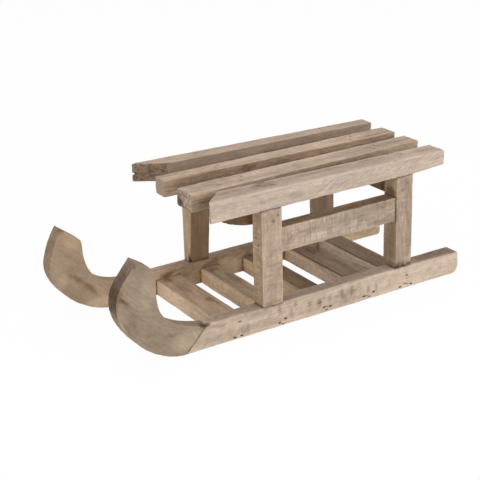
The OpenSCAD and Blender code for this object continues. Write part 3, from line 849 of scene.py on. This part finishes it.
def build_legs():
    front, tall = (1, 0), SEAT - RUNNER

    def leg(node, x, y, length, depth, look, patches=(), **wear):
        place = box_place((x, y, RUNNER), (x + length, y + depth, SEAT), (2, 0, 1))
        wooden(node, "leg_wood", (tall, length, depth), place, look, patches, **wear)

    look = dict(tone=(178, 158, 139), seed=5, front=(1, 0.95, 0.87), pith=(-30, 30),
                saw=(4.5, 3, 0.16), edge=0.9, streak=0.2, smudge=0.15, mottle=0.12)
    patches = [
        grey((101, 0, 161), (4, 4, 3), 0.7), grey((94, 0, 154), (4, 4, 3), 0.6),
        grey((89, 0, 107), (7, 4, 4), 0.5, turn=20), brown((92, 0, 92), (12, 4, 3), 0.3),
        brown((90, 0, 66), (14, 4, 2.5), 0.3, turn=3), brown((94, 0, 38), (18, 30, 4), 0.3)]
    leg("left_front_leg", FRONT_LEG, 0, 32, 23, look, patches, nail_dark=0.5)

    look = dict(tone=(168, 150, 133), seed=6, front=(1.34, 1.28, 1.14), pith=(30, 35),
                saw=(4, 0, 0.09), edge=0.9, streak=0.3, mottle=0.22)
    patches = [
        brown((REAR_LEG, 14, 148), (6, 15, 9), 0.85, front), brown((312, 0, 38), (26, 30, 8), 0.75),
        brown((REAR_LEG, 12, 70), (5, 20, 36), 0.2, front), grey((312, 0, 120), (10, 5, 22), 0.3)]
    dents = [((304, 0, 36), (4, 4, 3), 0.5, 0.9), ((313, 0, 35), (6, 4, 3), 0.6, 0.9),
             ((325, 0, 36), (5, 4, 3.4), 0.6, 0.8)]
    leg("left_rear_leg", REAR_LEG, 0, 28, 29, look, patches, dents=dents)

    # The darker tone and the two brown patches near the top are partly darker wood and partly
    # painted shade under the seat.
    look = dict(tone=(162, 136, 109), seed=7, front=(1.42, 1.52, 1.68), pith=(20, -40),
                saw=(4, 0, 0.04))
    patches = [
        brown((92, 186, 160), (20, 20, 20), 0.45), brown((75, 200, 165), (8, 30, 16), 0.3),
        brown((FRONT_LEG, 194.5, 38), (5, 3.6, 14), 1)]
    wooden("right_front_leg", "leg_wood", (tall, 32, 24), right_front_place, look, patches,
           dents=[((FRONT_LEG, 194, 36), (3, 3, 7), 1.6, 0.95)])

    look = dict(tone=(156, 134, 112), seed=8, front=(1.25, 1.27, 1.3), pith=(-20, -35),
                mottle=0.2)
    leg("right_rear_leg", REAR_LEG, 185, 28, 25, look)


def build_rails():
    near, front = (2, 0), FRONT_LEG + 32
    for node, y, seed in (("left_rail", 2.5, 9), ("right_rail", 185.5, 10)):
        place = box_place((front, y, 106), (REAR_LEG, y + BOARD, 141), (0, 2, 1))
        look = dict(tone=(172, 154, 137), seed=seed, top=(0.68, 0.59, 0.49), pith=(40, 30),
                    saw=(2.8, 0, 0.17), streak=0.35, mottle=0.2)
        patches = [
            brown((121, y, 124), (5, 4, 14), 0.35), grey((138, y, 120), (4, 4, 13), 0.4),
            grey((154, y, 120), (5, 4, 12), 0.35), brown((187, y, 118), (5, 4, 12), 0.3),
            grey((213, y, 125), (8, 4, 12), 0.35), brown((238, y, 120), (5, 4, 12), 0.3),
            pale((200, y, 126), (60, 4, 40), 0.2, near),
            grey((120, y, 124), (40, 4, 40), 0.2, near),
            brown((290, y, 124), (40, 4, 40), 0.2, near),
            brown((285, y + 11, 141), (40, 40, 4), 0.2),
            pale((130, y + 11, 141), (60, 40, 4), 0.35)]
        wooden(node, "rail_wood", (REAR_LEG - front, 35, BOARD), place, look, patches)


def build_bearers():
    front = (2, 0)
    # The dark tone is partly darker wood and partly painted shade under the seat.
    look = dict(tone=(124, 96, 65), seed=11, pith=(-40, 0), rings=0.5, streak=0.8,
                saw=(3, 0, 0.08), mottle=0.2)
    wooden("front_bearer", "bearer_wood", (158, 46, 26), front_bearer_place, look,
           worn=(0.8, 2), wave=0.4, ragged=(1, 0, 0.9),
           patches=[brown((76.5, 30, 150), (6, 12, 30), 0.7, front)])
    look = dict(tone=(138, 118, 94), seed=12, pith=(35, 10))
    place = box_place((302, 29, 142), (328, 185, SEAT), (1, 2, 0))
    wooden("rear_bearer", "bearer_wood", (156, 29, 26), place, look,
           patches=[brown((302, 34, 156), (6, 7, 24), 0.6, front)])


END, NEAR, TOP = (0, 0), (1, 0), (2, 1)         # faces of the slats


def build_first():
    place = slat_place(sloping(0, 0), sloping(33, 0), lambda x: np.minimum(200 - 5 * x / SLAT, 200),
                       lambda x: SEAT + 3 * np.clip((x - 329) / 56, 0, 1), lambda b: -5 + 34 * b)
    look = dict(tone=(188, 171, 156), seed=13, top=(0.87, 0.84, 0.84),
                front=(1.14, 1.09, 0.96), pith=(-50, 30), mottle=0.08, smudge=0.2, blotch=0.3,
                dapple=0.03, lean=(0.02, 0.01), saw=(2, -52, 0.11), saw_axis="Y_AXIS")
    patches = [
        grey((90, 20, 199), (32, 12, 4), 0.7), grey((40, 22, 199), (42, 8, 4), 0.7),
        grey((165, 22, 198), (34, 6, 4), 0.5), brown((320, 24, 194), (12, 6, 4), 0.5),
        grey((200, 26, 196), (30, 8, 4), 0.3), brown((210, 21, 197), (24, 7, 3), 0.25),
        brown((264, 26, 196), (22, 6, 3), 0.35), brown((289, 22, 195.5), (12, 4, 3), 0.25),
        brown((356, 17, 195), (20, 10, 3), 0.3), pale((340, 16, 196), (70, 40, 6), 0.25, TOP),
        brown((80, 0, 184), (26, 4, 3), 0.3, turn=4), grey((130, 0, 182), (18, 4, 5), 0.35)]
    wooden("seat_slat_1", "slat_wood", (390, 33, 27), place, look, patches, worn=(0.7, 1.8),
           end_worn=3.2, rear_worn=3.6, nail_dark=0.5,
           sawn=lambda p: (0.15 + smooth(p[:, 0], 110, 190)) * (1 - smooth(p[:, 1], 1, 3)),
           dents=[((86, 22, 199), (5, 3, 2), 0.3, 0.55), ((93, 30, 199), (6, 3, 2), 0.3, 0.6),
                  ((102, 14, 199), (4, 3, 2), 0.3, 0.5)],
           planes=[((-5, 0, 189.5), (-1, -0.45, 0.35), 0.3),
                   ((-4, 0, 194.5), (-1, -0.6, 0.9), 0.4),
                   ((0, 0, 198.4), (0.013, -1, 1), 0.7)])


def build_inner():
    """The second and third slat."""
    wear = dict(worn=(0.7, 1.8), end_worn=2.8, rear_worn=2.8)
    shared = dict(flake=0.14, mottle=0.17, streak=0.6, smudge=0.42)

    place = slat_place(sloping(50, 7), sloping(88, 1), sloping(SEAT_TOP, 0))
    look = dict(tone=(168, 148, 125), seed=14, top=(1.28, 1.32, 1.52), pith=(-20, 25),
                lean=(0.03, -0.02), rings=0.45, end=(203, 186, 171), **shared)
    # The long brown patches low on the near side are partly grime and partly painted shade in the
    # gap to the neighbouring slat.
    patches = [
        brown((0, 84, 177), (7, 11, 13), 0.85, END), grey((0, 74, 186), (7, 8, 8), 0.4, END),
        brown((30, 51, 184), (32, 4, 5), 0.4, turn=8), brown((346, 73, 195), (46, 7, 3), 0.25),
        grey((50, 70, 195), (70, 24, 3), 0.25), brown((230, 54, 182), (230, 14, 12), 0.62, NEAR),
        brown((70, 51, 182), (90, 14, 12), 0.5, NEAR)]
    dents = [((0, 80, 177), (5, 7, 5), 2.2, 0.6), ((0, 84, 186), (4, 3, 6), 1.2, 0.4),
             ((0, 74, 174), (4, 4, 4), 1.2, 0.5)]
    wooden("seat_slat_2", "slat_wood", (SLAT, 36, 24), place, look, patches, dents,
           planes=[((0, 88.3, 173.5), (-0.3, 0.62, -0.72), 1.2)], end_rough=1.3, pitted=0.6,
           **wear)

    place = slat_place(sloping(WIDTH - 87, -13), sloping(WIDTH - 64, -5), sloping(SEAT_TOP, 0))
    look = dict(tone=(165, 142, 121), seed=15, top=(1.36, 1.43, 1.56), pith=(-35, -25),
                rings=0.4, end=(186, 170, 158), **shared)
    # The long brown patches low on the near side are partly grime and partly painted shade in the
    # gap to the neighbouring slat.
    patches = [
        brown((131, 118.6, 188), (20, 4, 7), 0.7), brown((127, 118.7, 191), (6, 5, 4), 0.9),
        brown((180, 117, 184), (40, 4, 8), 0.35), brown((68, 144, 194), (3, 3, 2), 0.7),
        brown((60, 122, 184), (80, 6, 14), 0.3, NEAR),
        brown((270, 114, 178), (190, 14, 12), 0.55, NEAR),
        brown((90, 119, 180), (80, 14, 12), 0.35, NEAR),
        pale((200, 130, 195), (110, 40, 5), 0.3, TOP), brown((350, 119, 195), (30, 6, 3), 0.3),
        grey((290, 128, 195), (40, 7, 3), 0.4), brown((60, 136, 195), (70, 24, 3), 0.12)]
    wooden("seat_slat_3", "slat_wood", (SLAT, 27, 24), place, look, patches, end_rough=0.8,
           **wear)


def build_fourth():
    far, top = sloping(WIDTH - 1, -8), sloping(197.5, -2.5)

    def worn_point(points):
        """The bevel along the outer top edge, and the round corners and notch of the point."""
        points = points.copy()
        x, y, z = points.T
        keep = 1.2 + 6.8 * x / 388 + 1.2 * (noise(points, 30, 8) - 0.5)
        past = np.clip(y - far(x) + keep + z - top(x), 0, None)
        points[:, 1] -= past / 2
        points[:, 2] -= past / 2
        for middle, radius, up in (((2.5, 190.8), 6.3, 1), ((0.5, 175), 4, -1)):
            away = (points[:, [0, 2]] - middle) * (-1, up)
            scale = np.minimum(1, radius / np.maximum(length(away), 1e-9))[:, None]
            scale = np.where((away > 0).all(1)[:, None], scale, 1)
            points[:, [0, 2]] = middle + away * scale * (-1, up)
        notch = 1 - smooth(np.abs(points[:, 2] - 182), 0.5, 2.4)
        points[:, 0] += 5 * notch * (1 - smooth(points[:, 0], -3.5, 6.5))
        return points

    place = slat_place(sloping(WIDTH - 30, -10), far, top, front=lambda b: 39 - 43.4 * b,
                       rear=388.8)
    look = dict(tone=(154, 135, 119), seed=16, top=(1.48, 1.51, 1.54), pith=(30, -30),
                end=(146, 127, 110), speck=0.7, mottle=0.12, streak=0.5)
    # The long brown patch low on the near side is partly grime and partly painted shade in the gap
    # to the neighbouring slat.
    patches = [
        brown((91, 195, 196), (4, 3, 3), 0.6), grey((80, 195, 197), (70, 20, 4), 0.22),
        brown((230, 175, 177), (190, 14, 12), 0.52, NEAR),
        brown((0, 207, 174), (12, 8, 5), 0.5, END), pale((18, 192, 197), (30, 26, 2.2), 0.7, END),
        pale((-3, 209, 189), (6, 4, 12), 0.5, END)]
    wooden("seat_slat_4", "slat_wood", (391.5, 31, 25.5), place, look, patches,
           step=(3.4, 1.3, 1.2), worn=(0.4, 1.3), end_worn=1.2, rear_worn=3, end_rough=1.2,
           pitted=0.5, shape=worn_point, dents=[((-1, 209, 182), (6, 5, 1.8), 0.3, 0.85)],
           planes=[((38.8, 180.9, 180), (-0.29, -0.956, 0), 0.8)])


def build_deck():
    front = (1, 0)
    # Where a board starts, its width, the height lost at its front edge, its colours (all over; on
    # top, darkened as painted shade under the seat; in front, lightened as painted light), its
    # patches, and a shallow dent along its front edge, darkened as a painted shadow line.
    boards = [
        (16, 39, 1.2, (183, 159, 137), (0.97, 0.96, 0.94), (1.47, 1.58, 1.61),
         [brown((30, 180, 23), (14, 14, 3), 0.7), brown((45, 88, 23), (8, 13, 4), 0.7),
          brown((47, 74, 23), (4, 8, 4), 0.5), grey((36, 140, 23), (12, 30, 4), 0.45),
          brown((52, 120, 23), (4, 40, 4), 0.3), pale((30, 60, 23), (14, 30, 4), 0.12)], []),
        (90, 30, 2.2, (190, 167, 143), (0.92, 0.91, 0.9), (1.92, 2.01, 2.01),
         [brown((112, 130, 23), (9, 34, 4), 0.4), brown((104, 176, 23), (12, 12, 4), 0.5),
          grey((117, 70, 23), (8, 40, 4), 0.4)], []),
        (163, 32, 1.2, (176, 150, 122), (0.53, 0.5, 0.49), (1.84, 1.99, 2.16),
         [brown((190, 60, 23), (7, 60, 4), 0.3), grey((170, 120, 23), (12, 50, 4), 0.3)], []),
        (238, 34, 3, (180, 160, 140), (0.71, 0.65, 0.62), (1.8, 1.88, 1.93),
         [brown((262, 150, 23), (16, 22, 4), 0.45), brown((266, 84, 23), (7, 40, 4), 0.35),
          brown((238, 90, 18), (4, 70, 7), 0.18, front), pale((250, 60, 23), (7, 30, 4), 0.25)],
         [((240.8, 105, 22.6), (1.5, 85, 1.5), 0.2, 0.75)]),
        (301, 33, 1.5, (182, 162, 144), (0.75, 0.7, 0.66), (1.96, 2.16, 2.28),
         [brown((325, 110, 23), (7, 60, 4), 0.3), grey((312, 140, 23), (10, 30, 4), 0.3)],
         [((302.4, 105, 22.8), (1.3, 85, 1.3), 0.2, 0.7)])]
    for n, (start, width, drop, tone, above, ahead, patches, dents) in enumerate(boards):
        node = f"deck_board_{n + 1}"
        place = box_place((start, BOARD, 0), (start + width, FAR, DECK_TOP), (1, 0, 2))
        look = dict(tone=tone, seed=17 + n, pith=(-25 + 12 * n, -30), lean=(0.02, 0),
                    top=above, front=ahead, rings=0.4, mottle=0.14, streak=0.55)
        wooden(node, "deck_wood", (FAR - BOARD, width, DECK_TOP), place, look, patches, dents,
               [((start, 100, DECK_TOP - drop), (-1, 0, 1), 0.8)])


def dress_nails():
    dark = rusty_steel("deck_nail_steel", (0.05, 0.04, 0.033), (0.075, 0.042, 0.024),
                       (0.03, 0.021, 0.015))
    faded = rusty_steel("dirty_nail_steel", (0.26, 0.21, 0.165), (0.27, 0.19, 0.125),
                        (0.17, 0.125, 0.09))
    for node in NAIL_NODES:
        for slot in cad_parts[node].material_slots:
            slot.material = dark if node == "deck_nails" else faded


# ---- the room

def area_light(name, place, size, power, colour=(1, 1, 1)):
    """A round lamp aimed at the middle of the sledge."""
    light = bpy.data.lights.new(name, "AREA")
    light.shape = "DISK"
    light.size = size
    light.energy = power
    light.color = colour
    obj = added(name, light)
    obj.location = place
    obj.rotation_mode = "QUATERNION"
    aim = np.array([0, 0, 0.1]) - place
    obj.rotation_quaternion = Vector(aim).to_track_quat("-Z", "Y")


def camera_share(g):
    """1 for what the camera sees, directly or by way of gloss or glass, and 0 for light."""
    path = g.new("LightPath").node.outputs
    seen = g.math("MAXIMUM", path["Is Camera Ray"], path["Is Glossy Ray"])
    return g.math("MAXIMUM", seen, path["Is Transmission Ray"])


def build_floor():
    g = Graph(bpy.data.materials.new("floor_paper"))
    grain = g.noise(g.new("TexCoord", output="Object"), 9, 9, 3)
    colour = g.mix(grain, (0.94, 0.94, 0.94, 1), (0.98, 0.98, 0.98, 1))
    plain = g.new("BsdfDiffuse", {"Color": colour})
    glow = g.new("Emission", {"Color": (1, 1, 1, 1), "Strength": 1})
    share = g.product(camera_share(g), 0.96)
    mesh = bpy.data.meshes.new("floor")
    corners = [(x, y, 0) for x, y in ((-8, -8), (8, -8), (8, 8), (-8, 8))]
    mesh.from_pydata(corners, [], [(0, 1, 2, 3)])
    mesh.materials.append(g.finish(g.new("MixShader", {0: share, 1: plain, 2: glow})))
    floor = added("floor", mesh)
    floor.location.z = -0.0004


def build_light():
    world = bpy.data.worlds.new("studio")
    SCENE.world = world
    g = Graph(world)
    soft = g.new("Background", {"Color": (1, 0.99, 0.975, 1), "Strength": 0.5})
    white = g.new("Background", {"Color": (1, 1, 1, 1), "Strength": 1})
    both = g.new("MixShader", {0: camera_share(g), 1: soft, 2: white})
    g.new("OutputWorld", {"Surface": both})
    area_light("key", (0.5, -2.9, 1.7), 2.2, 52)
    area_light("top", (-0.2, 0.3, 3), 2.6, 24)
    area_light("front", (-2.8, -0.6, 1.2), 2, 18, (1, 0.94, 0.86))


def build_camera():
    """The camera that was fitted to the photo: its axes, place and lens."""
    right = (0.84213284, -0.53864243, -0.02601197)
    up = (0.22011209, 0.29929587, 0.92842482)
    back = (-0.49230372, -0.78758258, 0.37060859)
    data = bpy.data.cameras.new("camera")
    data.sensor_width = 36
    data.lens = 94.597
    data.clip_start, data.clip_end = 0.05, 50
    camera = added("camera", data)
    place = (-0.89817, -1.38662, 0.74309)
    camera.matrix_world = Matrix([*zip(right, up, back, place), (0, 0, 0, 1)])
    bpy.context.scene.camera = camera


build_runners()
build_horns()
build_legs()
build_rails()
build_bearers()
build_first()
build_inner()
build_fourth()
build_deck()
dress_nails()
build_floor()
build_light()
build_camera()
SCENE.view_settings.view_transform = "Standard"
